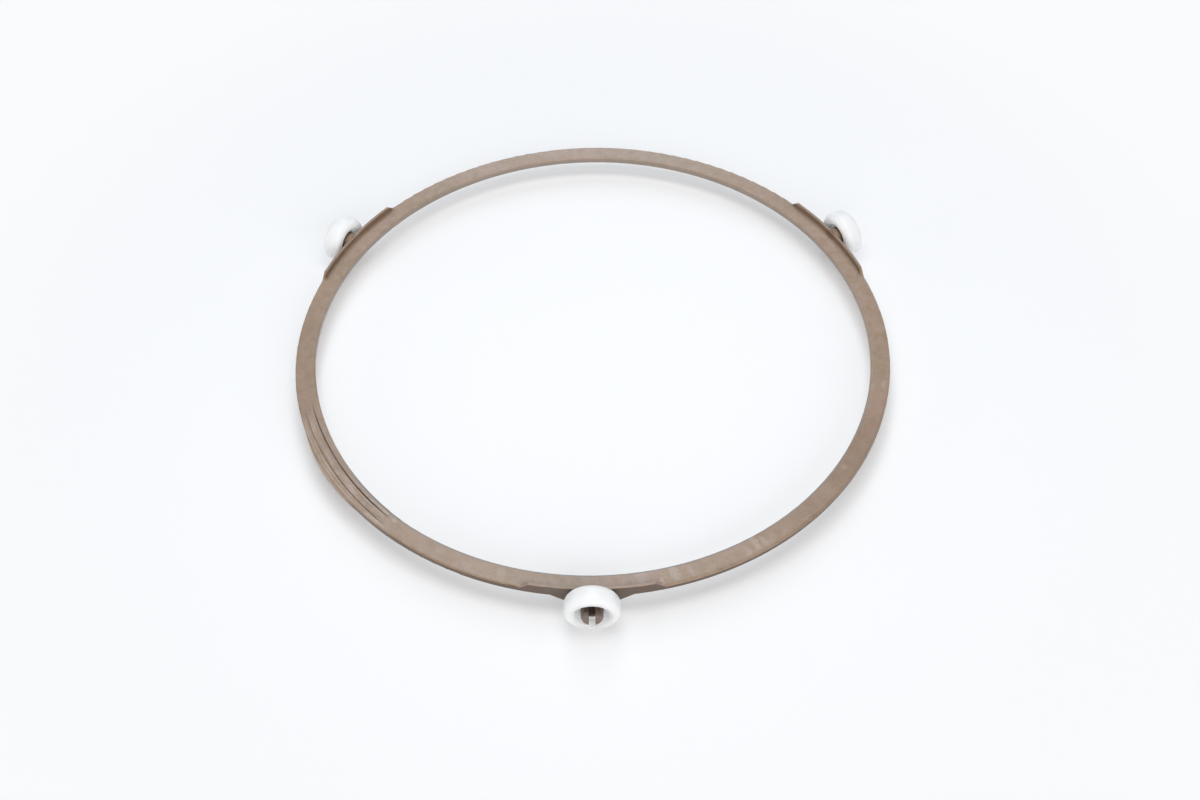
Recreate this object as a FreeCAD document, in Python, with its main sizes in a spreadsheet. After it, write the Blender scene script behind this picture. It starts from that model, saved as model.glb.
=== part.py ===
import FreeCAD, Part
import math
import os
import Sketcher

# Roller ring of a microwave turntable: one moulded ring that carries three rollers on split snap studs.
# The ring's axis is Z, the rollers stand on the plane Z = 0, and the front roller lies along -Y.

# Driving dimensions, in millimetres and degrees.
DRIVING = {
    # Flat strip of the ring.
    "ring_outer_radius": 95.2,
    "ring_width": 6.1,
    "ring_thickness": 2.3,
    "ring_edge_round": 0.6,
    "ring_top_above_axle": 1.1,
    # Upstanding lip at each roller, flush with the strip's outer face.
    "lip_length": 41.6,
    "lip_height": 1.9,
    "lip_wall": 0.9,
    "lip_end_slope": 2.9,
    # Gusset under the strip that backs each stud.
    "gusset_top_width": 24.4,
    "gusset_bottom_width": 8.0,
    "gusset_drop": 4.0,
    "gusset_wall": 2.2,
    # Edge rounding of lip and gusset.
    "wall_edge_round": 0.2,
    # Roller.
    "roller_diameter": 16.0,
    "roller_gap": 0.9,
    "tread_width": 2.3,
    "outer_face_width": 0.3,
    "recess_flare_width": 0.3,
    "recess_rim_round": 0.5,
    "web_thickness": 1.8,
    # Split snap stud.
    "collar_diameter": 6.5,
    "collar_root_depth": 0.4,
    "stud_diameter": 5.5,
    "barb_height": 0.45,
    "barb_tip_drop": 0.5,
    "barb_tip_length": 0.9,
    "tip_stand_out": 0.8,
    "slot_width": 1.85,
    # Fits and clearances between stud and roller.
    "bore_clearance": 0.07,
    "axial_clearance": 0.3,
    "collar_clearance": 1.25,
    "barb_clearance": 2.0,
    # Local swelling of the strip: a bulge of its outer and of its inner edge.
    "outer_bulge_azimuth": 212.5,
    "outer_bulge_half_angle": 10.5,
    "outer_bulge_rise": 0.75,
    "inner_bulge_azimuth": 209.0,
    "inner_bulge_half_angle": 25.0,
    "inner_bulge_rise": 0.55,
    "bulge_depth": 3.0,
    # Two creases along the top face of the swelling.
    "crease_azimuth": 213.0,
    "crease_half_angle": 17.0,
    "outer_crease_inset": 1.7,
    "outer_crease_width": 0.4,
    "outer_crease_depth": 0.3,
    "inner_crease_inset": 4.3,
    "inner_crease_width": 0.55,
    "inner_crease_depth": 0.6,
}

# Rollers in the order of their seats, anticlockwise from the front.
ROLLERS = ("front_roller", "right_roller", "left_roller")
FRONT_AZIMUTH = 270.0
TURN = 360.0

# Angle of a bulge's arc, run-outs in the strip included, beside the angle over which it shows.
RUN_OUT = 1.15

# Axes of a sketch plane.
NORMAL = (0, 0, 1)
UPRIGHT = (0, 1, 0)

doc = FreeCAD.newDocument("roller_ring")
sheet = doc.addObject("Spreadsheet::Sheet", "Sizes")
for row, (alias, number) in enumerate(DRIVING.items(), start=1):
    sheet.set(f"A{row}", alias)
    sheet.set(f"B{row}", str(number))
    sheet.setAlias(f"B{row}", alias)
doc.recompute()


def size(alias):
    """Expression that reads one driving dimension."""
    return f"Sizes.{alias}"


def value(expression):
    """Number that an expression gives at the present sizes."""
    return float(sheet.evalExpression(expression))


# Heights and stations that several features share, as expressions.
AXLE_HEIGHT = f"({size('roller_diameter')} / 2)"
TOP = f"({AXLE_HEIGHT} + {size('ring_top_above_axle')})"
UNDERSIDE = f"({TOP} - {size('ring_thickness')})"
MIDDLE = f"({TOP} - {size('ring_thickness')} / 2)"
OUTER = size("ring_outer_radius")
INNER = f"({OUTER} - {size('ring_width')})"
COLLAR = f"({size('collar_diameter')} / 2)"
STUD = f"({size('stud_diameter')} / 2)"
BARB = f"({STUD} + {size('barb_height')})"
INNER_RECESS = f"({COLLAR} + {size('collar_clearance')})"
OUTER_RECESS = f"({BARB} + {size('barb_clearance')})"
TREAD = f"({size('roller_diameter')} / 2)"
OUTER_FACE = f"({OUTER_RECESS} + {size('recess_rim_round')} + {size('outer_face_width')})"
TREAD_ROUND = f"({TREAD} - {OUTER_FACE})"
ROLLER_WIDTH = f"({size('tread_width')} + 2 * {TREAD_ROUND})"
RECESS_DEPTH = f"(({ROLLER_WIDTH} - {size('web_thickness')}) / 2)"
ROLLER_INNER = f"({OUTER} + {size('roller_gap')})"
ROLLER_OUTER = f"({ROLLER_INNER} + {ROLLER_WIDTH})"


def origin_item(body, role):
    """Plane or axis of a body's own origin."""
    return next(item for item in body.Origin.OriginFeatures if item.Role == role)


def new_body(label):
    body = doc.addObject("PartDesign::Body", label)
    body.Label = label
    return body


def new_sketch(body, name, plane, shift=("0", "0", "0"), turn_axis=NORMAL, turn="0"):
    """Sketch on an origin plane, shifted along the plane's own axes and turned about one of them."""
    sketch = body.newObject("Sketcher::SketchObject", name)
    sketch.AttachmentSupport = [(origin_item(body, plane), "")]
    sketch.MapMode = "FlatFace"
    base = FreeCAD.Vector(*[value(part) for part in shift])
    rotation = FreeCAD.Rotation(FreeCAD.Vector(*turn_axis), value(turn))
    sketch.AttachmentOffset = FreeCAD.Placement(base, rotation)
    for axis, part in zip("xyz", shift):
        sketch.setExpression(f"AttachmentOffset.Base.{axis}", part)
    sketch.setExpression("AttachmentOffset.Rotation.Angle", turn)
    return sketch


def pin_point(sketch, geometry, end, axis, expression):
    """Fixes one coordinate of a point to an expression."""
    kind, other_axis = {"x": ("DistanceX", -2), "y": ("DistanceY", -1)}[axis]
    number = value(expression)
    if number == 0:
        sketch.addConstraint(Sketcher.Constraint("PointOnObject", geometry, end, other_axis))
        return
    index = sketch.addConstraint(Sketcher.Constraint(kind, -1, 1, geometry, end, number))
    sketch.setExpression(f"Constraints[{index}]", expression)


def draw_outline(sketch, corners):
    """Closed outline through corners, each followed by a line or by an arc.

    A corner is (x, y) before a line and (x, y, radius, side) before an arc. The side is 1 where
    the arc turns left on its way to the next corner and -1 where it turns right.
    """
    ends = []
    for corner, following in zip(corners, corners[1:] + corners[:1]):
        begin = FreeCAD.Vector(value(corner[0]), value(corner[1]), 0)
        finish = FreeCAD.Vector(value(following[0]), value(following[1]), 0)
        if len(corner) == 2:
            geometry = sketch.addGeometry(Part.LineSegment(begin, finish))
            ends.append((geometry, 1, 2))
            continue
        radius = value(corner[2])
        side = corner[3]
        run = finish - begin
        left = FreeCAD.Vector(-run.y, run.x, 0).normalize()
        reach = math.sqrt(max(radius**2 - (run.Length / 2) ** 2, 0))
        centre = (begin + finish) * 0.5 + left * reach * side
        first, last = (begin, finish) if side > 0 else (finish, begin)
        angles = [math.atan2(point.y - centre.y, point.x - centre.x) for point in (first, last)]
        circle = Part.Circle(centre, FreeCAD.Vector(0, 0, 1), radius)
        geometry = sketch.addGeometry(Part.ArcOfCircle(circle, *angles))
        ends.append((geometry, 1, 2) if side > 0 else (geometry, 2, 1))
        index = sketch.addConstraint(Sketcher.Constraint("Radius", geometry, radius))
        sketch.setExpression(f"Constraints[{index}]", corner[2])
    for corner, edge, before in zip(corners, ends, ends[-1:] + ends[:-1]):
        geometry, begin_end, _ = edge
        joined, _, finish_end = before
        sketch.addConstraint(Sketcher.Constraint("Coincident", joined, finish_end, geometry, begin_end))
        pin_point(sketch, geometry, begin_end, "x", corner[0])
        pin_point(sketch, geometry, begin_end, "y", corner[1])


def rounded_section(sketch, near, far, low, high, rounding):
    """Rectangle with four rounded corners, drawn anticlockwise."""
    draw_outline(
        sketch,
        [
            (f"{near} + {rounding}", low),
            (f"{far} - {rounding}", low, rounding, 1),
            (far, f"{low} + {rounding}"),
            (far, f"{high} - {rounding}", rounding, 1),
            (f"{far} - {rounding}", high),
            (f"{near} + {rounding}", high, rounding, 1),
            (near, f"{high} - {rounding}"),
            (near, f"{low} + {rounding}", rounding, 1),
        ],
    )


def revolve(body, name, sketch, axis, angle=None):
    """Revolution about an origin axis or a sketch axis; a part turn is split evenly about the sketch."""
    feature = body.newObject("PartDesign::Revolution", name)
    feature.Profile = sketch
    feature.ReferenceAxis = axis
    if angle is None:
        feature.Angle = TURN
    else:
        feature.Midplane = True
        feature.setExpression("Angle", angle)
    doc.recompute()
    return feature


def cut(body, name, sketch, depth, along_normal=False, both_ways=False):
    """Pocket that has to take material away."""
    before = body.Shape.Volume
    feature = body.newObject("PartDesign::Pocket", name)
    feature.Profile = sketch
    feature.Midplane = both_ways
    feature.Reversed = along_normal
    feature.setExpression("Length", depth)
    doc.recompute()
    if body.Shape.Volume >= before:
        raise RuntimeError(f"{name} takes nothing away")
    return feature


def arc_radius(chord, rise):
    """Radius of the arc that rises so far over half of its chord."""
    return f"(({chord} ^ 2 + {rise} ^ 2) / (2 * {rise}))"


def add_bulge(body, name, edge, outward):
    """Arc of strip about an axis of its own that swells past one edge of the strip and runs out in it."""
    azimuth = size(f"{name}_azimuth")
    half = size(f"{name}_half_angle")
    sign = "+" if outward else "-"
    chord = f"({edge} * sin({half}))"
    rise = f"({edge} * (1 - cos({half})) {sign} {size(f'{name}_rise')})"
    radius = arc_radius(chord, rise)
    offset = f"({edge} {sign} {size(f'{name}_rise')} - {radius})"
    section = new_sketch(
        body,
        f"{name}_section",
        "XZ_Plane",
        shift=(f"{offset} * cos({azimuth})", "0", f"-{offset} * sin({azimuth})"),
        turn_axis=UPRIGHT,
        turn=azimuth,
    )
    near = f"({radius} - {size('bulge_depth')})" if outward else radius
    far = radius if outward else f"({radius} + {size('bulge_depth')})"
    rounded_section(section, near, far, UNDERSIDE, TOP, size("ring_edge_round"))
    revolve(body, name, section, (section, ["V_Axis"]), f"2 * {RUN_OUT} * asin({chord} / {radius})")


def add_strip(body):
    """Flat strip of the ring, turned about the ring's axis."""
    section = new_sketch(body, "strip_section", "XZ_Plane")
    rounded_section(section, INNER, OUTER, UNDERSIDE, TOP, size("ring_edge_round"))
    revolve(body, "strip", section, (origin_item(body, "Z_Axis"), [""]))


def add_wall(body, name, wall, low, high, length):
    """Stretch of upright wall at the front roller, flush with the strip's outer face."""
    section = new_sketch(body, f"{name}_section", "YZ_Plane", turn_axis=UPRIGHT, turn="180")
    rounded_section(section, f"({OUTER} - {wall})", OUTER, low, high, size("wall_edge_round"))
    angle = f"2 * asin({length} / 2 / {OUTER})"
    return revolve(body, name, section, (origin_item(body, "Z_Axis"), [""]), angle)


def slope_wall_ends(body, name, root, crest, root_width, crest_width):
    """Cuts both ends of a wall to a slope, from its full width at its root to its width at the crest."""
    spare = size("ring_width")
    sketch = new_sketch(body, f"{name}_slopes", "XZ_Plane", shift=("0", "0", f"{OUTER} / 2"))
    for side in ("", "-"):
        draw_outline(
            sketch,
            [
                (f"{side}({root_width} / 2)", root),
                (f"{side}({root_width} / 2 + {spare})", root),
                (f"{side}({root_width} / 2 + {spare})", crest),
                (f"{side}({crest_width} / 2)", crest),
            ],
        )
    return cut(body, f"{name}_ends", sketch, OUTER, along_normal=True)


def add_lip(body):
    root = f"({TOP} - {size('ring_edge_round')})"
    crest = f"({TOP} + {size('lip_height')})"
    length = size("lip_length")
    lip = add_wall(body, "lip", size("lip_wall"), MIDDLE, crest, length)
    crest_width = f"({length} - 2 * {size('lip_end_slope')})"
    return [lip, slope_wall_ends(body, "lip", root, crest, length, crest_width)]


def add_gusset(body):
    root = f"({UNDERSIDE} + {size('ring_edge_round')})"
    crest = f"({UNDERSIDE} - {size('gusset_drop')})"
    width = size("gusset_top_width")
    gusset = add_wall(body, "gusset", size("gusset_wall"), crest, MIDDLE, width)
    return [gusset, slope_wall_ends(body, "gusset", root, crest, width, size("gusset_bottom_width"))]


def add_stud(body):
    """Collar, shaft and barbed tip turned about the front axle, split as far as the roller's middle."""
    shoulder = f"({ROLLER_INNER} + {RECESS_DEPTH} - {size('axial_clearance')})"
    catch = f"({ROLLER_OUTER} - {RECESS_DEPTH} + {size('axial_clearance')})"
    tip = f"({ROLLER_OUTER} + {size('tip_stand_out')})"
    root = f"({OUTER} - {size('collar_root_depth')})"
    on_axle = ("0", AXLE_HEIGHT, "0")
    section = new_sketch(body, "stud_section", "YZ_Plane", shift=on_axle, turn_axis=UPRIGHT, turn="180")
    draw_outline(
        section,
        [
            (root, "0"),
            (tip, "0"),
            (tip, f"{BARB} - {size('barb_tip_drop')}"),
            (f"{tip} - {size('barb_tip_length')}", BARB),
            (catch, BARB),
            (catch, STUD),
            (shoulder, STUD),
            (shoulder, COLLAR),
            (root, COLLAR),
        ],
    )
    stud = revolve(body, "stud", section, (section, ["H_Axis"]))
    slot_sketch = new_sketch(body, "slot_outline", "XY_Plane", shift=("0", "0", AXLE_HEIGHT))
    half = f"{size('slot_width')} / 2"
    slot_root = f"-({ROLLER_INNER} + {ROLLER_WIDTH} / 2)"
    slot_mouth = f"-({tip} + {size('slot_width')})"
    draw_outline(
        slot_sketch,
        [
            (f"-{half}", slot_mouth),
            (half, slot_mouth),
            (half, slot_root),
            (f"-{half}", slot_root),
        ],
    )
    slot = cut(body, "slot", slot_sketch, f"2 * {size('collar_diameter')}", both_ways=True)
    return [stud, slot]


def add_crease(body, name):
    """Crescent groove along the swelling's top face that fades out at both ends."""
    on_top = ("0", "0", TOP)
    sketch = new_sketch(body, f"{name}_outline", "XY_Plane", shift=on_top, turn=size("crease_azimuth"))
    half = size("crease_half_angle")
    radius = f"({OUTER} - {size(f'{name}_inset')})"
    chord = f"({radius} * sin({half}))"
    rise = f"({radius} * (1 - cos({half})) - {size(f'{name}_width')})"
    draw_outline(
        sketch,
        [
            (f"{radius} * cos({half})", f"-{chord}", radius, 1),
            (f"{radius} * cos({half})", chord, arc_radius(chord, rise), -1),
        ],
    )
    cut(body, name, sketch, size(f"{name}_depth"))


def make_ring():
    """The ring as one moulded piece: three seats of lip, gusset and split stud, joined by the strip."""
    body = new_body("ring")
    body.AllowCompound = True
    seat = add_lip(body) + add_gusset(body) + add_stud(body)
    pattern = body.newObject("PartDesign::PolarPattern", "roller_seats")
    pattern.Originals = seat
    pattern.Axis = (origin_item(body, "Z_Axis"), [""])
    pattern.Angle = TURN
    pattern.Occurrences = len(ROLLERS)
    body.Tip = pattern
    doc.recompute()
    if len(body.Shape.Solids) != len(ROLLERS):
        raise RuntimeError("a roller seat is missing")
    add_strip(body)
    add_bulge(body, "outer_bulge", OUTER, outward=True)
    add_bulge(body, "inner_bulge", INNER, outward=False)
    add_crease(body, "outer_crease")
    add_crease(body, "inner_crease")
    return body


def make_roller(label, azimuth):
    """Roller with rounded edges, a flared recess in each face and a thin web on the stud."""
    body = new_body(label)
    section = new_sketch(body, f"{label}_section", "XZ_Plane")
    rim = size("recess_rim_round")
    flare = size("recess_flare_width")
    bore = f"({STUD} + {size('bore_clearance')})"
    draw_outline(
        section,
        [
            (RECESS_DEPTH, bore),
            (f"{ROLLER_WIDTH} - {RECESS_DEPTH}", bore),
            (f"{ROLLER_WIDTH} - {RECESS_DEPTH}", f"{OUTER_RECESS} - {flare}"),
            (f"{ROLLER_WIDTH} - {rim}", OUTER_RECESS, rim, -1),
            (ROLLER_WIDTH, f"{OUTER_RECESS} + {rim}"),
            (ROLLER_WIDTH, OUTER_FACE, TREAD_ROUND, 1),
            (f"{ROLLER_WIDTH} - {TREAD_ROUND}", TREAD),
            (TREAD_ROUND, TREAD, TREAD_ROUND, 1),
            ("0", OUTER_FACE),
            ("0", f"{INNER_RECESS} + {rim}", rim, -1),
            (rim, INNER_RECESS),
            (RECESS_DEPTH, f"{INNER_RECESS} - {flare}"),
        ],
    )
    revolve(body, f"{label}_turned", section, (origin_item(body, "X_Axis"), [""]))
    body.Placement.Rotation = FreeCAD.Rotation(FreeCAD.Vector(0, 0, 1), azimuth)
    body.setExpression("Placement.Base.x", f"{ROLLER_INNER} * cos({azimuth})")
    body.setExpression("Placement.Base.y", f"{ROLLER_INNER} * sin({azimuth})")
    body.setExpression("Placement.Base.z", AXLE_HEIGHT)
    doc.recompute()
    return body


pieces = [make_ring()]
for seat_number, roller_label in enumerate(ROLLERS):
    pieces.append(make_roller(roller_label, FRONT_AZIMUTH + seat_number * TURN / len(ROLLERS)))
doc.recompute()

for item in doc.Objects:
    if "Invalid" in item.State or "Error" in item.State:
        raise RuntimeError(f"{item.Label} did not build")
for piece in pieces:
    if piece.Shape.isNull() or not piece.Shape.isValid() or len(piece.Shape.Solids) != 1:
        raise RuntimeError(f"{piece.Label} is not one valid solid")

os.makedirs("parts", exist_ok=True)
for piece in pieces:
    piece.Shape.exportStep(f"parts/{piece.Label}.step")
    print(piece.Label, f"volume {piece.Shape.Volume:.1f} mm3")
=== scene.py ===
# %% [markdown]
# # Microwave roller ring
# A moulded ring of tan plastic runs on three white rollers under a glass turntable tray. The solids come
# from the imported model, in metres, with the ring's axis on Z and the floor at Z = 0. More shapes could be
# added with bmesh, but every form of this object is a solid already. So this lesson finds the
# photograph's camera, lights the solids and gives each plastic a finish that is made of nodes alone.

# %% Load the frame
import bmesh
import bpy
import math
from mathutils import Matrix, Vector


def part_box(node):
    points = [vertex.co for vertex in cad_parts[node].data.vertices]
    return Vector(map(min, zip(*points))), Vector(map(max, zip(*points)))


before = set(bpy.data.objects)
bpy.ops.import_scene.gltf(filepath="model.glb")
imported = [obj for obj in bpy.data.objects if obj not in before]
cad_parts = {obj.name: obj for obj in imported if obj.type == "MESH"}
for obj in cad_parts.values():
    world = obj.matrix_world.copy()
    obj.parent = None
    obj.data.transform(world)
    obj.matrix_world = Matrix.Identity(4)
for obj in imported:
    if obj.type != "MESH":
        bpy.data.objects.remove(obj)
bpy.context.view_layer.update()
scene = bpy.context.scene
scene.view_settings.view_transform = "Standard"
MM = 0.001
print("nodes", sorted(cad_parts))

# %% [markdown]
# The finishes follow the moulding: grease and painted shade on the studs, dirt and painted shade at the
# lips, a painted reflection on the inner edge. Their limits could be typed in as plain radii, but those
# would stay behind if the model changed. So the main sizes are measured on the solids, in millimetres, and
# only the strip's width and the lips' height are written down.

# %% Sizes of the ring
STRIP_WIDTH = 6.1
LIP_HEIGHT = 1.9

ring_low, ring_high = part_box("ring")
roller_low, roller_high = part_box("front_roller")
strip_outer = ring_high.x / MM
strip_inner = strip_outer - STRIP_WIDTH
strip_top = ring_high.z / MM - LIP_HEIGHT
stud_tip = -ring_low.y / MM
axle_height = roller_high.z / 2 / MM
roller_inner_face = -roller_high.y / MM
roller_middle = -(roller_low.y + roller_high.y) / 2 / MM
print("strip", round(strip_inner, 2), "to", round(strip_outer, 2), "top", round(strip_top, 2))
print("stud tip", round(stud_tip, 2), "roller", round(roller_middle, 2), "axle", round(axle_height, 2))

# %% [markdown]
# A camera can be placed by eye, but then the edges drift from the photograph's. This one was found by
# fitting ellipses to the ring's outer and inner edges. It looks down at about 50 degrees from less than
# half a metre, so the front of the ring looks wider than the back. The lens follows from the focal length
# in pixels of a frame 1200 pixels wide.

# %% Camera
FRAME_WIDTH_PX = 1200
FOCAL_LENGTH_PX = 1447.55
SENSOR_WIDTH = 36.0
CLIP_START = 0.01
CAMERA_ELEVATION = math.radians(50.24)
CAMERA_AZIMUTH = math.radians(0.68)
CAMERA_ROLL = math.radians(-1.05)
CAMERA_DISTANCE = 451.06 * MM
CAMERA_TARGET = Vector((2.10, -24.78, 9.1)) * MM

camera_data = bpy.data.cameras.new("camera")
camera_data.sensor_width = SENSOR_WIDTH
camera_data.lens = SENSOR_WIDTH * FOCAL_LENGTH_PX / FRAME_WIDTH_PX
camera_data.clip_start = CLIP_START
camera = bpy.data.objects.new("camera", camera_data)
scene.collection.objects.link(camera)
camera.matrix_world = (
    Matrix.Rotation(CAMERA_AZIMUTH, 4, "Z")
    @ Matrix.Translation(CAMERA_TARGET)
    @ Matrix.Rotation(math.pi / 2 - CAMERA_ELEVATION, 4, "X")
    @ Matrix.Rotation(CAMERA_ROLL, 4, "Z")
    @ Matrix.Translation((0, 0, CAMERA_DISTANCE))
)
scene.camera = camera
print("lens", round(camera_data.lens, 2), "mm")


# %% [markdown]
# Node trees can be built line by line, but small helpers keep them short and readable. `add_node` adds a
# node, sets its properties and fills its sockets with numbers or links. `calc` is one step of arithmetic,
# `product` multiplies masks, and `hypotenuse` joins two distances at a right angle. `separate`,
# `turn_about_axis` and `noise` wrap one node each. `blend` mixes two colours by a mask, and `ease` turns
# a value into a mask that rises softly between two limits.

# %% Node helpers
def add_node(tree, kind, values=None, **settings):
    node = tree.nodes.new(kind)
    for name, setting in settings.items():
        setattr(node, name, setting)
    for socket, value in (values or {}).items():
        if isinstance(value, bpy.types.NodeSocket):
            tree.links.new(value, node.inputs[socket])
        else:
            node.inputs[socket].default_value = value
    return node


def calc(tree, operation, *operands):
    return add_node(tree, "ShaderNodeMath", dict(enumerate(operands)), operation=operation).outputs[0]


def product(tree, *factors):
    result = factors[0]
    for factor in factors[1:]:
        result = calc(tree, "MULTIPLY", result, factor)
    return result


def hypotenuse(tree, first, second):
    squares = calc(tree, "ADD", calc(tree, "POWER", first, 2.0), calc(tree, "POWER", second, 2.0))
    return calc(tree, "SQRT", squares)


def separate(tree, vector):
    return add_node(tree, "ShaderNodeSeparateXYZ", {0: vector}).outputs


def turn_about_axis(tree, place, angle):
    values = {"Vector": place, "Angle": angle}
    return add_node(tree, "ShaderNodeVectorRotate", values, rotation_type="Z_AXIS").outputs[0]


def noise(tree, place, scale, detail):
    values = {"Vector": place, "Scale": scale, "Detail": detail}
    return add_node(tree, "ShaderNodeTexNoise", values).outputs[0]


def blend(tree, mask, below, above):
    node = add_node(tree, "ShaderNodeMix", {0: mask, 6: below, 7: above}, data_type="RGBA")
    return node.outputs[2]


def ease(tree, value, start, end, low=0.0, high=1.0):
    limits = {0: value, 1: start, 2: end, 3: low, 4: high}
    return add_node(tree, "ShaderNodeMapRange", limits, interpolation_type="SMOOTHSTEP").outputs[0]


print("helpers ready")


# %% [markdown]
# Effects that are used more than once are node groups. The ring has one material, and each roller has its
# own. A pattern could be placed in the world, but then it would slide when a roller turns, so the
# object's own coordinates place every pattern. They are scaled to millimetres here, once, so that all
# later numbers are sizes on the part.

# %% Groups and materials
def new_group(name, inputs, outputs):
    """Empty node group; inputs and outputs are (name, socket kind) pairs."""
    group = bpy.data.node_groups.new(name, "ShaderNodeTree")
    for label, kind in inputs:
        group.interface.new_socket(label, in_out="INPUT", socket_type=f"NodeSocket{kind}")
    for label, kind in outputs:
        group.interface.new_socket(label, in_out="OUTPUT", socket_type=f"NodeSocket{kind}")
    return group, group.nodes.new("NodeGroupInput").outputs, group.nodes.new("NodeGroupOutput").inputs


def use_group(tree, group, values):
    return add_node(tree, "ShaderNodeGroup", values, node_tree=group).outputs


def new_material(name):
    """Material with its Principled shader and the object's own coordinates in millimetres."""
    material = bpy.data.materials.new(name)
    material.use_nodes = True
    tree = material.node_tree
    metres = add_node(tree, "ShaderNodeTexCoord").outputs["Object"]
    values = {0: metres, "Scale": 1 / MM}
    place = add_node(tree, "ShaderNodeVectorMath", values, operation="SCALE").outputs[0]
    return material, tree, tree.nodes["Principled BSDF"], place


def dress(node_name, material):
    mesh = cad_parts[node_name].data
    mesh.materials.clear()
    mesh.materials.append(material)


print("nodes to dress", len(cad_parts))

# %% [markdown]
# The floor is a sheet of white paper that curves up into a wall far away on all sides, like a
# photographer's paper sweep. A plain square would do from above, but from a low angle its far edge would
# show. So one outline, from the axis to the top of the wall, is drawn and spun round the axis.

# %% Floor
SWEEP_OUTLINE = ((0.0, 0.0), (7.0, 0.0), (7.6, 0.15), (7.9, 0.6), (8.0, 3.5))
SWEEP_STEPS = 64

sweep = bmesh.new()
outline = [sweep.verts.new((radius, 0, height)) for radius, height in SWEEP_OUTLINE]
edges = [sweep.edges.new(pair) for pair in zip(outline, outline[1:])]
bmesh.ops.spin(
    sweep, geom=outline + edges, axis=(0, 0, 1), angle=2 * math.pi, steps=SWEEP_STEPS, use_merge=True
)
bmesh.ops.remove_doubles(sweep, verts=sweep.verts, dist=MM)
floor_mesh = bpy.data.meshes.new("floor")
sweep.to_mesh(floor_mesh)
sweep.free()
floor = bpy.data.objects.new("floor", floor_mesh)
scene.collection.objects.link(floor)
print("floor", len(floor_mesh.polygons), "faces")

# %% [markdown]
# Paper scatters light, so it brightens the ring's walls from below and keeps a soft shadow. More lamps
# could turn it white, but they would wash out the ring. Instead, a share of what the camera sees of it is
# plain white. That share is small under the ring, where the shadow lies, and grows outside it, where the
# light falls off.

# %% Paper of the floor
PAPER = (0.915, 0.915, 0.92, 1)
PLAIN_WHITE = (0.955, 0.97, 0.985, 1)
PLAIN_SHARE_NEAR = 0.26
PLAIN_SHARE_FAR = 0.95
SHADOW_REACH = 0.12
FULL_WHITE_REACH = 0.25

floor_material = bpy.data.materials.new("white_paper")
floor_material.use_nodes = True
tree = floor_material.node_tree
tree.nodes.clear()
rays = add_node(tree, "ShaderNodeLightPath").outputs
seen = calc(tree, "MAXIMUM", rays["Is Camera Ray"], rays["Is Glossy Ray"])
seen = calc(tree, "MAXIMUM", seen, rays["Is Transmission Ray"])
paper = add_node(tree, "ShaderNodeBsdfDiffuse", {"Color": PAPER}).outputs[0]
plain = add_node(tree, "ShaderNodeEmission", {"Color": PLAIN_WHITE, "Strength": 1.0}).outputs[0]
on_paper = add_node(tree, "ShaderNodeTexCoord").outputs["Object"]
reach = add_node(tree, "ShaderNodeVectorMath", {0: on_paper}, operation="LENGTH").outputs["Value"]
share = ease(tree, reach, SHADOW_REACH, FULL_WHITE_REACH, PLAIN_SHARE_NEAR, PLAIN_SHARE_FAR)
layers = {0: product(tree, seen, share), 1: paper, 2: plain}
ground = add_node(tree, "ShaderNodeMixShader", layers).outputs[0]
add_node(tree, "ShaderNodeOutputMaterial", {"Surface": ground})
floor_mesh.materials.append(floor_material)
print("paper nodes", len(tree.nodes))


# %% [markdown]
# A single big lamp would light the ring evenly, and its top would look flat. Here a low oval softbox
# gives most of the light from above. Two cool panels behind are what the camera sees mirrored in the top
# face: the near one puts a pale sheen on the front of the strip, the far one on its back, and the sides
# between stay browner. A wide front fill lights the faces of the rollers, a weak left fill their left
# sides, and a dim world the rest.

# %% Light
PANEL_BLUE = (0.78, 0.89, 1.0)
WORLD_WHITE = (1, 1, 1, 1)
WORLD_STRENGTH = 0.22


def add_area_light(name, shape, size, watts, place, target, colour=(1, 1, 1)):
    data = bpy.data.lights.new(name, "AREA")
    data.shape = shape
    data.size, data.size_y = size
    data.energy = watts
    data.color = colour
    lamp = bpy.data.objects.new(name, data)
    aim = (Vector(target) - Vector(place)).to_track_quat("-Z", "Y")
    lamp.matrix_world = Matrix.Translation(place) @ aim.to_matrix().to_4x4()
    scene.collection.objects.link(lamp)


add_area_light(
    "softbox", "ELLIPSE", size=(0.48, 0.24), watts=1.3, place=(0.005, -0.03, 0.52), target=(0.005, -0.03, 0)
)
add_area_light(
    "near panel", "RECTANGLE", size=(0.6, 0.9), watts=7.0,
    place=(-0.12, 0.95, 1.6), target=(-0.12, 0.95, 0), colour=PANEL_BLUE,
)
add_area_light(
    "far panel", "RECTANGLE", size=(0.6, 1.3), watts=12.3,
    place=(-0.02, 2.1, 1.6), target=(-0.02, 2.1, 0), colour=PANEL_BLUE,
)
add_area_light(
    "front fill", "RECTANGLE", size=(3.0, 1.6), watts=32.0, place=(0.6, -1.85, 0.9), target=(0, 0, 0)
)
add_area_light(
    "left fill", "RECTANGLE", size=(1.6, 0.8), watts=5.5, place=(-1.7, -0.2, 0.35), target=(0, 0, 0)
)
world = bpy.data.worlds.new("studio")
world.use_nodes = True
background = world.node_tree.nodes["Background"].inputs
background["Color"].default_value = WORLD_WHITE
background["Strength"].default_value = WORLD_STRENGTH
scene.world = world

# %% [markdown]
# The wear follows the strip round, so X and Y are the wrong way to place it. `polar` gives each point of
# the ring its distance from the axis, its azimuth in degrees and its height. The worn edge, the creases
# and the dirt beside the lips all read these three. A UV map could do the same, but a solid from CAD has
# none.

# %% Shader group: polar
FULL_TURN = 360.0

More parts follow.
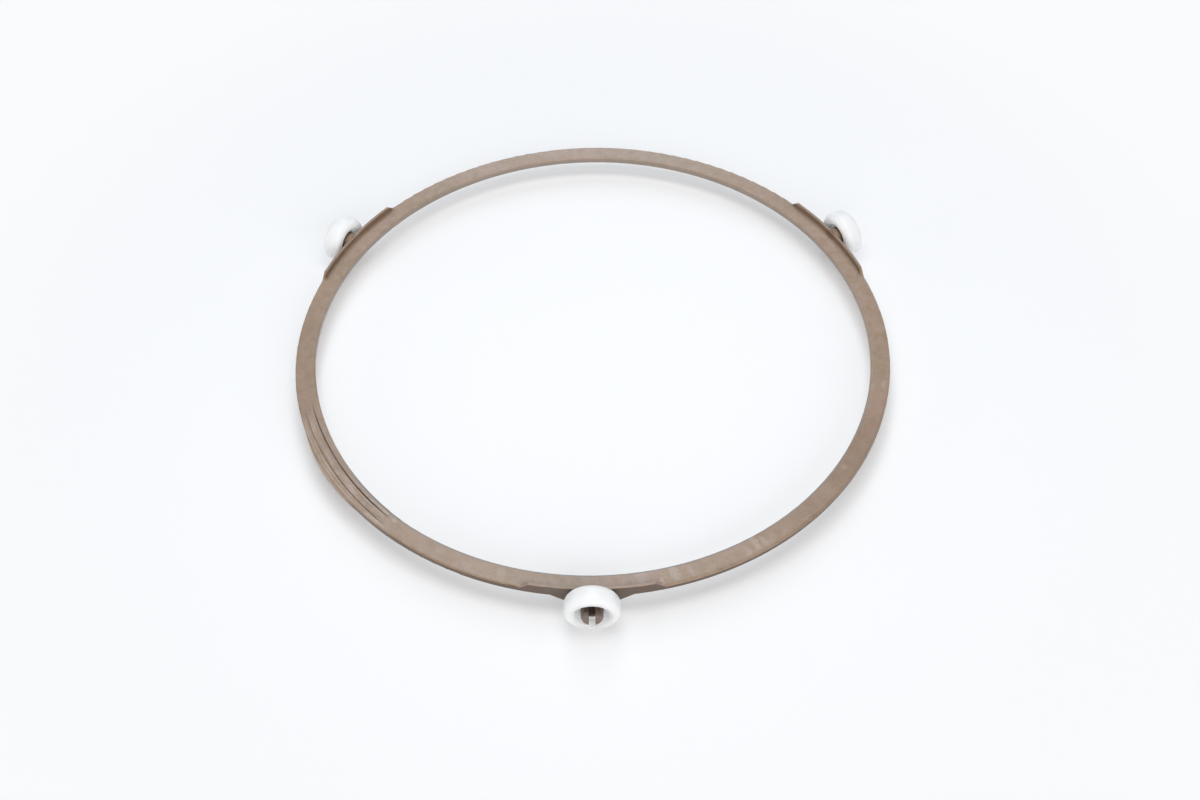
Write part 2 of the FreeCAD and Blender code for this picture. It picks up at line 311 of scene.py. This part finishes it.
polar, given, made = new_group(
    "polar", [("Place", "Vector")], [("Radius", "Float"), ("Azimuth", "Float"), ("Height", "Float")]
)
axes = separate(polar, given["Place"])
turn = calc(polar, "DEGREES", calc(polar, "ARCTAN2", axes["Y"], axes["X"]))
polar.links.new(hypotenuse(polar, axes["X"], axes["Y"]), made["Radius"])
polar.links.new(calc(polar, "FLOORED_MODULO", turn, FULL_TURN), made["Azimuth"])
polar.links.new(axes["Z"], made["Height"])
print("polar gives", made.keys())

# %% [markdown]
# `band` is a soft-edged mask round one value. A colour ramp could draw the same stripe, but a ramp's
# stops can't be driven by other nodes, and the creases need a centre that moves.

# %% Shader group: band
band, given, made = new_group(
    "band",
    [("Value", "Float"), ("Centre", "Float"), ("Half Width", "Float"), ("Softness", "Float")],
    [("Mask", "Float")],
)
away = calc(band, "ABSOLUTE", calc(band, "SUBTRACT", given["Value"], given["Centre"]))
limit = calc(band, "ADD", given["Half Width"], given["Softness"])
band.links.new(ease(band, away, given["Half Width"], limit, 1.0, 0.0), made["Mask"])
print("band takes", given.keys())

# %% [markdown]
# `smear` is a ragged patch at one azimuth and radius of the strip, as a dry cloth leaves it. It could be
# painted by hand, but a group can be placed many times with other sizes. It turns the ring until the
# patch lies on X, scales it to a unit disc, lets noise eat its rim and breaks it into flecks.

# %% Shader group: smear
RAG_SCALE = 0.9
RAG_DETAIL = 4.0
RAG_DEPTH = 1.6
RAGGED_RIM = (0.55, 1.0)
FLECK_SCALE = 2.2
FLECK_DETAIL = 3.0
FLECK_LIMITS = (0.38, 0.6)
BETWEEN_FLECKS = 0.45

smear, given, made = new_group(
    "smear",
    [("Place", "Vector")] + [(label, "Float") for label in ("Azimuth", "Radius", "Length", "Width")],
    [("Mask", "Float")],
)
angle = calc(smear, "RADIANS", calc(smear, "MULTIPLY", given["Azimuth"], -1.0))
axes = separate(smear, turn_about_axis(smear, given["Place"], angle))
across = calc(smear, "DIVIDE", calc(smear, "SUBTRACT", axes["X"], given["Radius"]), given["Width"])
along = calc(smear, "DIVIDE", axes["Y"], given["Length"])
inwards = calc(smear, "SUBTRACT", hypotenuse(smear, across, along), RAG_DEPTH / 2)
rag = noise(smear, given["Place"], RAG_SCALE, RAG_DETAIL)
patch = ease(smear, calc(smear, "MULTIPLY_ADD", rag, RAG_DEPTH, inwards), *RAGGED_RIM, 1.0, 0.0)
flecks = noise(smear, given["Place"], FLECK_SCALE, FLECK_DETAIL)
flecks = ease(smear, flecks, *FLECK_LIMITS, BETWEEN_FLECKS, 1.0)
near_half = calc(smear, "GREATER_THAN", axes["X"], 0.0)
smear.links.new(product(smear, near_half, flecks, patch), made["Mask"])
print("smear takes", given.keys())

# %% [markdown]
# No moulded plastic is of one even colour. `clouds` is the unevenness that both plastics share: broad
# clouds, small blots and a fine grain, each from 0 to 1. One noise with much detail would blur the three
# sizes into each other, so each has its own. The seed moves all three, and every piece gets another
# pattern.

# %% Shader group: clouds
CLOUD_SIZES = {
    "Broad": {"scale": 0.07, "detail": 3.0, "limits": (0.3, 0.7)},
    "Blots": {"scale": 0.5, "detail": 5.0, "limits": (0.3, 0.7)},
    "Grain": {"scale": 4.0, "detail": 3.0, "limits": (0.25, 0.75)},
}

clouds, given, made = new_group(
    "clouds", [("Place", "Vector"), ("Seed", "Float")], [(label, "Float") for label in CLOUD_SIZES]
)
for label, size in CLOUD_SIZES.items():
    values = {"Vector": given["Place"], "W": given["Seed"], "Scale": size["scale"], "Detail": size["detail"]}
    cloud = add_node(clouds, "ShaderNodeTexNoise", values, noise_dimensions="4D").outputs[0]
    clouds.links.new(ease(clouds, cloud, *size["limits"]), made[label])
print("clouds gives", made.keys())

# %% [markdown]
# The ring is one piece of matte tan plastic, so it is one material, built up like paint: each mask mixes
# one more colour over the last. An image texture could hold all this, but nodes stay sharp at any
# distance. The first layers are clouds of greener and pinker tan, with rosy and umber patches.

# %% Ring plastic
TAN = (0.316, 0.219, 0.151, 1)
OLIVE_TAN = (0.294, 0.21, 0.136, 1)
PINK_TAN = (0.346, 0.236, 0.174, 1)
ROSY_GREY = (0.39, 0.29, 0.25, 1)
UMBER = (0.2, 0.125, 0.075, 1)
MOTTLE_SEED = 1.0
PATCH_SEED = 5.0
TAN_SHARE = 0.5
ROSY_BLOTS = (0.5, 0.95)
ROSY_SHARE = 0.3
UMBER_BLOTS = (0.45, 0.05)
UMBER_SHARE = 0.22

ring_material, tree, shader, place = new_material("tan_plastic")
spot = use_group(tree, polar, {"Place": place})
from_axis = spot["Radius"]
around = spot["Azimuth"]
above_floor = spot["Height"]
mottle = use_group(tree, clouds, {"Place": place, "Seed": MOTTLE_SEED})
patches = use_group(tree, clouds, {"Place": place, "Seed": PATCH_SEED})
colour = blend(tree, mottle["Broad"], OLIVE_TAN, PINK_TAN)
colour = blend(tree, product(tree, mottle["Blots"], TAN_SHARE), colour, TAN)
colour = blend(tree, ease(tree, patches["Blots"], *ROSY_BLOTS, 0.0, ROSY_SHARE), colour, ROSY_GREY)
colour = blend(tree, ease(tree, patches["Blots"], *UMBER_BLOTS, 0.0, UMBER_SHARE), colour, UMBER)
print("first layers", len(tree.nodes), "nodes")

# %% [markdown]
# Two stretches on the right side of the strip and one on its left are painted browner. This is painted
# shade:
# the sides catch less sheen than the front and back. They are listed as azimuth, half angle, angle over
# which they fade, and strength. A broad noise could do it too, but it wouldn't put them where the photograph
# does.
# A faint grain then lightens and darkens everything laid on so far.

# %% Painted shade on the sides, and grain
SHADED_SIDE_STRETCHES = (
    (325.0, 8.0, 18.0, 0.22),
    (331.0, 3.0, 9.0, 0.2),
    (188.0, 6.0, 16.0, 0.22),
)
SHADE_SWING = 0.1
SHADE_LOW = 0.9

# Painted shade: the sides of the strip, which catch less sheen, are darkened towards umber.
for azimuth, half_angle, fade_angle, strength in SHADED_SIDE_STRETCHES:
    values = {"Value": around, "Centre": azimuth, "Half Width": half_angle, "Softness": fade_angle}
    side_shade = use_group(tree, band, values)["Mask"]
    colour = blend(tree, product(tree, side_shade, strength), colour, UMBER)
shade = calc(tree, "MULTIPLY_ADD", mottle["Blots"], SHADE_SWING, SHADE_LOW)
shade = calc(tree, "MULTIPLY_ADD", mottle["Grain"], SHADE_SWING, shade)
colour = add_node(tree, "ShaderNodeHueSaturation", {"Color": colour, "Value": shade}).outputs[0]
print("browner stretches", len(SHADED_SIDE_STRETCHES))

# %% [markdown]
# The walls are painted darker than the top, as painted shade. A wall could have a material of its own, but
# its border would be hard. Here a point's own normal tells whether it looks up. What doesn't is painted
# browner as shade on the outer wall and on the lips, though less on their inner faces. On the inner wall it
# is painted greyer, as a painted reflection of the pale floor.

# %% Painted shade and reflection on the walls
PAINTED_WALL_SHADE = (0.099, 0.061, 0.039, 1)
FLOOR_REFLECTION_GREY = (0.215, 0.192, 0.176, 1)
FACING_UP = (0.2, 0.75)
LIP_FOOT = (strip_outer - 1.5, strip_outer - 1.0)
THROUGH_LIP = (strip_outer - 0.8, strip_outer - 0.3)
PAST_STRIP = (strip_outer + 0.05, strip_outer + 0.4)
INNER_FACE_SHARE = 0.2
INNER_WALL = (strip_inner + 0.2, strip_inner + 0.7)
REFLECTION_SHARE = 0.6

normal = add_node(tree, "ShaderNodeTexCoord").outputs["Normal"]
not_up = ease(tree, separate(tree, normal)["Z"], *FACING_UP, 1.0, 0.0)
outer_wall_shade = product(
    tree,
    not_up,
    ease(tree, from_axis, *LIP_FOOT),
    ease(tree, from_axis, *THROUGH_LIP, INNER_FACE_SHARE, 1.0),
    ease(tree, from_axis, *PAST_STRIP, 1.0, 0.0),
)
# Painted shade: the outer wall and the lips turn browner where they don't face up.
colour = blend(tree, outer_wall_shade, colour, PAINTED_WALL_SHADE)
inner_wall_reflection = product(tree, not_up, ease(tree, from_axis, *INNER_WALL, REFLECTION_SHARE, 0.0))
# Painted reflection: the inner wall turns greyer, as if the pale floor were mirrored in it.
colour = blend(tree, inner_wall_reflection, colour, FLOOR_REFLECTION_GREY)
print("outer wall from", round(LIP_FOOT[0], 2), "to", round(PAST_STRIP[1], 2))

# %% [markdown]
# Each roller turns on a split stud. It is darkened brown, partly as grease and partly as painted shade
# inside the roller's recess, less on the ends of its prongs. Darker painted shade sits at the root of the
# slot, on the prongs under the roof of the roller's recess, and on the end of the collar inside the recess.
# Shadow alone would leave these spots too pale, because white plastic all round throws light on them.
# Distances from the ring's axis find the places on all three studs at once.

# %% Grease and painted shade on the studs
DIRT_AND_SHADE_BROWN = (0.07, 0.045, 0.03, 1)
PAINTED_SHADE_DARK = (0.045, 0.02, 0.005, 1)
ON_STUD = (roller_middle - 0.25, roller_middle - 0.05)
PRONG_END = (stud_tip - 0.7, stud_tip - 0.15)
GREASE_AND_SHADE_ON_SHAFT = 0.88
GREASE_AND_SHADE_ON_END = 0.68
SLOT_ROOT = (roller_middle + 0.55, roller_middle + 2.25)
SHADE_AT_ROOT = 0.95
UNDER_ROOF = (axle_height + 1.5, axle_height + 2.8)
SHADE_UNDER_ROOF = 0.8
ROOF_RIM = (stud_tip - 1.6, stud_tip - 0.4)
SHADE_PAST_RIM = 0.1
COLLAR_END = (roller_inner_face + 0.2, roller_inner_face + 0.8)
SHADE_ON_COLLAR = 0.92
COLLAR_STOP = (roller_middle - 0.45, roller_middle - 0.25)

# Grease and painted shade: the stud turns dark brown, less on the ends of its prongs.
on_stud = ease(tree, from_axis, *ON_STUD)
stud_grease_and_shade = product(tree, on_stud, ease(tree, from_axis, *PRONG_END, GREASE_AND_SHADE_ON_SHAFT, GREASE_AND_SHADE_ON_END))
colour = blend(tree, stud_grease_and_shade, colour, DIRT_AND_SHADE_BROWN)
# Painted shade: near black at the slot's root, under the recess roof and on the collar's end.
slot_root_shade = ease(tree, from_axis, *SLOT_ROOT, SHADE_AT_ROOT, 0.0)
roof_shade = product(
    tree,
    ease(tree, above_floor, *UNDER_ROOF, 0.0, SHADE_UNDER_ROOF),
    ease(tree, from_axis, *ROOF_RIM, 1.0, SHADE_PAST_RIM),
)
collar_end_shade = product(
    tree,
    ease(tree, from_axis, *COLLAR_END, 0.0, SHADE_ON_COLLAR),
    ease(tree, from_axis, *COLLAR_STOP, 1.0, 0.0),
)
stud_painted_shade = product(tree, on_stud, calc(tree, "MAXIMUM", slot_root_shade, roof_shade))
stud_painted_shade = calc(tree, "MAXIMUM", stud_painted_shade, collar_end_shade)
colour = blend(tree, stud_painted_shade, colour, PAINTED_SHADE_DARK)
print("studs from", round(ON_STUD[0], 2), "to", round(stud_tip, 2))


# %% [markdown]
# Wiping has left pale smears, most of them on the front of the strip. They could be strewn at random, but
# here each stands where the photograph shows one, listed as azimuth, radius, length along the strip,
# width across it and strength. One in the list, by the right end of the front lip, is no smear but a
# painted highlight on the lip's lit sloping end. Two rusty stains are made the same way: one at the foot of
# the right lip, one on the strip beside it.

# %% Smears, stains and a painted highlight on the strip
PALE = (0.58, 0.515, 0.475, 1)
RUST = (0.2, 0.095, 0.045, 1)
SMEARS_AND_HIGHLIGHT = (
    (253.6, 92.0, 1.8, 2.6, 0.15),
    (279.0, 91.4, 2.0, 2.6, 0.3),
    (284.7, 91.9, 1.8, 3.0, 0.3),
    (287.7, 92.4, 1.1, 2.6, 0.18),
    (298.8, 93.2, 1.3, 2.2, 0.2),
    (300.8, 91.4, 1.3, 2.6, 0.3),
    (302.4, 92.6, 1.1, 2.6, 0.2),
    (325.5, 91.4, 1.2, 1.2, 0.15),
    (347.0, 90.4, 2.4, 0.9, 0.2),
    (348.2, 93.5, 2.2, 1.0, 0.2),
    (230.3, 90.6, 1.6, 0.7, 0.4),
    # Painted highlight, not a smear: the lit sloping end of the front lip.
    (282.2, 93.6, 0.7, 1.3, 0.35),
    (225.5, 90.1, 6.5, 0.35, 0.5),
    (227.5, 94.2, 5.0, 0.45, 0.4),
    (219.0, 92.3, 4.0, 0.7, 0.25),
)
STAINS = (
    (30.2, 94.3, 2.8, 1.1, 0.8),
    (29.6, 90.8, 2.6, 2.2, 0.3),
)


def smear_mask(tree, place, azimuth, radius, length, width, strength):
    values = {"Place": place, "Azimuth": azimuth, "Radius": radius, "Length": length, "Width": width}
    return product(tree, use_group(tree, smear, values)["Mask"], strength)


smears_and_highlight = 0.0
for mark in SMEARS_AND_HIGHLIGHT:
    smears_and_highlight = calc(tree, "MAXIMUM", smears_and_highlight, smear_mask(tree, place, *mark))
colour = blend(tree, smears_and_highlight, colour, PALE)
for mark in STAINS:
    colour = blend(tree, smear_mask(tree, place, *mark), colour, RUST)
print("smears_and_highlight", len(SMEARS_AND_HIGHLIGHT), "stains", len(STAINS))

# %% [markdown]
# On the left the strip is swollen, and its skin is drawn out in streaks. A wave texture would draw them
# too evenly, so they are a stretched noise: its place is made of the azimuth, in small steps, and the
# radius, in large ones, and the spots become lines along the strip. `depth` is 1 in the middle of the
# swelling and falls to 0 at its ends.

# %% Streaks of the swelling
CREASE_AZIMUTH = 213.0
CREASE_HALF_ANGLE = 17.0
TOP_FACE = (strip_top - 1.1, strip_top - 0.7)
STEP_AROUND = 0.13
STEP_ACROSS = 2.0
STREAK_SCALE = 1.0
STREAK_DETAIL = 3.0
SWELLING_RISE = (0.0, 0.35)
STREAKS_ELSEWHERE = 0.12
PALE_STREAKS = (0.5, 0.72)
DARK_STREAKS = (0.5, 0.3)
STREAK_SHARE = 0.3

from_middle = calc(tree, "DIVIDE", calc(tree, "SUBTRACT", around, CREASE_AZIMUTH), CREASE_HALF_ANGLE)
depth = calc(tree, "SUBTRACT", 1.0, calc(tree, "POWER", from_middle, 2.0))
depth = calc(tree, "MAXIMUM", depth, 0.0)
on_top = ease(tree, above_floor, *TOP_FACE)
steps = {"X": product(tree, around, STEP_AROUND), "Y": product(tree, from_axis, STEP_ACROSS)}
drawn_out = add_node(tree, "ShaderNodeCombineXYZ", steps).outputs[0]
streaks = noise(tree, drawn_out, STREAK_SCALE, STREAK_DETAIL)
swollen = product(tree, on_top, ease(tree, depth, *SWELLING_RISE, STREAKS_ELSEWHERE, 1.0))
for streak_colour, limits in ((PALE, PALE_STREAKS), (DIRT_AND_SHADE_BROWN, DARK_STREAKS)):
    mask = product(tree, swollen, ease(tree, streaks, *limits), STREAK_SHARE)
    colour = blend(tree, mask, colour, streak_colour)
print("swelling round", CREASE_AZIMUTH, "degrees, to", CREASE_HALF_ANGLE, "on each side")

# %% [markdown]
# Two creases run along the swelling. Each is a real groove in the solid, and a dark band paints shade into
# it, more in the inner one. A straight band would miss the groove, because a crease bends inwards by half of
# its width in the middle. So the band's centre moves with `depth`. The creases are listed as inset from the
# strip's outer edge, width and strength of the painted shade.

# %% Painted shade in the creases of the swelling
CREASES = ((4.3, 0.55, 0.6), (1.7, 0.4, 0.2))
CREASE_SOFTNESS = 0.2
CREASE_FADE = (0.0, 0.6)

fade = ease(tree, depth, *CREASE_FADE)
for inset, width, strength in CREASES:
    centre = calc(tree, "MULTIPLY_ADD", depth, -width / 2, strip_outer - inset)
    values = {"Value": from_axis, "Centre": centre, "Half Width": width / 4, "Softness": CREASE_SOFTNESS}
    groove = use_group(tree, band, values)["Mask"]
    # Painted shade: each groove is darkened towards dark brown.
    colour = blend(tree, product(tree, groove, fade, on_top, strength), colour, DIRT_AND_SHADE_BROWN)
print("creases", len(CREASES))

# %% [markdown]
# The rounded inner edge on the front of the ring is painted greyer: a painted reflection of the pale floor.
# A pointiness mask could find every edge, but it would grey the back and the lips as well. So the edge is
# found by radius and height, kept to the front by its azimuth, and broken up by the patches.

# %% Painted reflection on the inner edge
REFLECTED_FLOOR_GREY = (0.2, 0.19, 0.18, 1)
EDGE_RADIUS = (strip_inner + 0.4, strip_inner + 0.9)
EDGE_HEIGHT = (strip_top - 0.8, strip_top - 0.5)
REFLECTION_FROM = (205.0, 225.0)
REFLECTION_UNTIL = (335.0, 355.0)
REFLECTION_BLOTS = (0.25, 0.65)
REFLECTION_LEAST = 0.3
REFLECTION_MOST = 0.9

edge_reflection = product(
    tree,
    ease(tree, from_axis, *EDGE_RADIUS, 1.0, 0.0),
    ease(tree, above_floor, *EDGE_HEIGHT),
    ease(tree, around, *REFLECTION_FROM),
    ease(tree, around, *REFLECTION_UNTIL, 1.0, 0.0),
    ease(tree, patches["Blots"], *REFLECTION_BLOTS, REFLECTION_LEAST, REFLECTION_MOST),
)
# Painted reflection: the rounded inner edge turns grey.
colour = blend(tree, edge_reflection, colour, REFLECTED_FLOOR_GREY)
print("worn from", REFLECTION_FROM[0], "to", REFLECTION_UNTIL[1], "degrees")

# %% [markdown]
# Dirt and painted shade gather where each lip stands on the strip, and the lips themselves are painted
# darker as shade, the two at the back more than the front one. Three masks could do it, one for each lip.
# But the lips stand a third of a turn apart, so one fold of the azimuth brings all three to the same place,
# and one mask serves them.

# %% Dirt and painted shade beside the lips
LIP_SPACING = 120.0
FIRST_LIP = 30.0
LIP_ENDS = (46.5, 48.5)
FOOT_REACH = (strip_outer - 3.0, strip_outer - 0.9)
LIP_FACE = (strip_outer - 0.8, strip_outer - 0.6)
BELOW_CREST = (strip_top + 1.1, strip_top + 1.7)
FOOT_SHARE = 0.28
ABOVE_STRIP = (strip_top + 0.1, strip_top + 0.4)
FRONT_LIP_FROM = (200.0, 210.0)
LIP_SHADE_BACK = 0.2
LIP_SHADE_FRONT = 0.1

shifted = calc(tree, "ADD", around, LIP_SPACING / 2 - FIRST_LIP)
near_lip = ease(tree, calc(tree, "PINGPONG", shifted, LIP_SPACING / 2), *LIP_ENDS)
foot = product(
    tree,
    near_lip,
    ease(tree, from_axis, *FOOT_REACH),
    ease(tree, from_axis, *LIP_FACE, 1.0, 0.0),
    ease(tree, above_floor, *BELOW_CREST, 1.0, 0.0),
    FOOT_SHARE,
)
# Dirt and painted shade where each lip meets the strip.
colour = blend(tree, foot, colour, DIRT_AND_SHADE_BROWN)
lip_crest_shade = product(
    tree,
    near_lip,
    ease(tree, above_floor, *ABOVE_STRIP),
    ease(tree, around, *FRONT_LIP_FROM, LIP_SHADE_BACK, LIP_SHADE_FRONT),
)
# Painted shade on the lips, more on the two at the back.
colour = blend(tree, lip_crest_shade, colour, PAINTED_WALL_SHADE)
print("lips at", [FIRST_LIP + LIP_SPACING * step for step in range(3)], "degrees")

# %% [markdown]
# Colour, roughness and a shallow grain go to the shader. One roughness for all would make the painted shade
# on the studs shine like the plastic, so the smears and the painted highlight are rougher than what is round
# them, and the painted shade more still.

# %% Finish of the ring
PLASTIC_ROUGHNESS = 0.28
BLOT_ROUGHNESS = 0.1
SMEAR_ROUGHNESS = 0.2
PAINTED_SHADE_ROUGHNESS = 0.5
GRAIN_SHARE = 0.3
GRAIN_STRENGTH = 0.08
GRAIN_DEPTH = 0.1 * MM

roughness = PLASTIC_ROUGHNESS
for mask, added in ((mottle["Blots"], BLOT_ROUGHNESS), (smears_and_highlight, SMEAR_ROUGHNESS), (stud_painted_shade, PAINTED_SHADE_ROUGHNESS)):
    roughness = calc(tree, "MULTIPLY_ADD", mask, added, roughness)
relief = calc(tree, "MULTIPLY_ADD", mottle["Grain"], GRAIN_SHARE, mottle["Blots"])
values = {"Strength": GRAIN_STRENGTH, "Distance": GRAIN_DEPTH, "Height": relief}
grain = add_node(tree, "ShaderNodeBump", values).outputs[0]
tree.links.new(colour, shader.inputs["Base Color"])
tree.links.new(roughness, shader.inputs["Roughness"])
tree.links.new(grain, shader.inputs["Normal"])
dress("ring", ring_material)
print("ring nodes", len(tree.nodes))


# %% [markdown]
# The rollers are white plastic, smoother than the ring. A plain white would look like plaster, so light
# goes a little way into them and comes out again: that is what Subsurface does. Each has its own seed, a
# greyer track round the tread, dust in its recesses, and dark grease and painted shade round its bore. All
# of these are rings round the axle, so the material turns the place until the axle lies along X and
# measures the distance from it.

# %% Roller plastic
WHITE = (0.975, 0.975, 0.97, 1)
DUSTY = (0.88, 0.87, 0.85, 1)
GREASE_AND_SHADE = (0.015, 0.011, 0.008, 1)
ROLLERS = {"front_roller": 270.0, "right_roller": 30.0, "left_roller": 150.0}
ROLLER_SEED = 10.0
BORE_RIM = (3.1, 3.5)
GREASE_AND_SHADE_SHARE = 0.9
RECESS_RIM = (4.2, 5.4)
DUST_IN_RECESS = 0.05
TREAD = (7.7, 7.95)
TRACK_HALF_WIDTH = 0.5
TRACK_SOFTNESS = 0.5
DUST_ON_TRACK = 0.3
DUST_ALL_OVER = 0.08


def roller_colour(tree, from_axle, track, blots):
    recess = ease(tree, from_axle, *RECESS_RIM, 1.0, 0.0)
    dust = product(tree, track, blots, DUST_ON_TRACK)
    dust = calc(tree, "MULTIPLY_ADD", recess, DUST_IN_RECESS, dust)
    dust = calc(tree, "MULTIPLY_ADD", blots, DUST_ALL_OVER, dust)
    # Grease and painted shade: near black round the bore, at the bottom of the recess.
    greased_and_shaded = ease(tree, from_axle, *BORE_RIM, GREASE_AND_SHADE_SHARE, 0.0)
    return blend(tree, greased_and_shaded, blend(tree, dust, WHITE, DUSTY), GREASE_AND_SHADE)


def track_mask(tree, from_axle, along):
    values = {"Value": along, "Centre": 0.0, "Half Width": TRACK_HALF_WIDTH, "Softness": TRACK_SOFTNESS}
    return product(tree, ease(tree, from_axle, *TREAD), use_group(tree, band, values)["Mask"])


print("rollers", list(ROLLERS))

# %% [markdown]
# One loop dresses the three rollers. A single material could serve all of them, but then the three would
# carry the same blots, and each needs its own axle. The numbers that are the same all over go on the
# shader's own sockets.

# %% Finish of the rollers
ROLLER_ROUGHNESS = 0.28
TRACK_ROUGHNESS = 0.1
GRAIN_ROUGHNESS = 0.08
ROLLER_GRAIN_STRENGTH = 0.05
SUBSURFACE_WEIGHT = 1.0
SUBSURFACE_RADIUS = (1.0, 1.0, 1.0)
SUBSURFACE_SCALE = 10.0 * MM

for number, (name, azimuth) in enumerate(ROLLERS.items()):
    roller_material, tree, shader, place = new_material(f"white_plastic_{name}")
    axes = separate(tree, turn_about_axis(tree, place, -math.radians(azimuth)))
    along = calc(tree, "SUBTRACT", axes["X"], roller_middle)
    from_axle = hypotenuse(tree, axes["Y"], calc(tree, "SUBTRACT", axes["Z"], axle_height))
    mottle = use_group(tree, clouds, {"Place": place, "Seed": ROLLER_SEED + number})
    track = track_mask(tree, from_axle, along)
    roughness = calc(tree, "MULTIPLY_ADD", track, TRACK_ROUGHNESS, ROLLER_ROUGHNESS)
    roughness = calc(tree, "MULTIPLY_ADD", mottle["Grain"], GRAIN_ROUGHNESS, roughness)
    values = {"Strength": ROLLER_GRAIN_STRENGTH, "Distance": GRAIN_DEPTH, "Height": mottle["Blots"]}
    grain = add_node(tree, "ShaderNodeBump", values).outputs[0]
    tree.links.new(roller_colour(tree, from_axle, track, mottle["Blots"]), shader.inputs["Base Color"])
    tree.links.new(roughness, shader.inputs["Roughness"])
    tree.links.new(grain, shader.inputs["Normal"])
    shader.inputs["Subsurface Weight"].default_value = SUBSURFACE_WEIGHT
    shader.inputs["Subsurface Radius"].default_value = SUBSURFACE_RADIUS
    shader.inputs["Subsurface Scale"].default_value = SUBSURFACE_SCALE
    dress(name, roller_material)
    print(name, len(tree.nodes), "nodes")
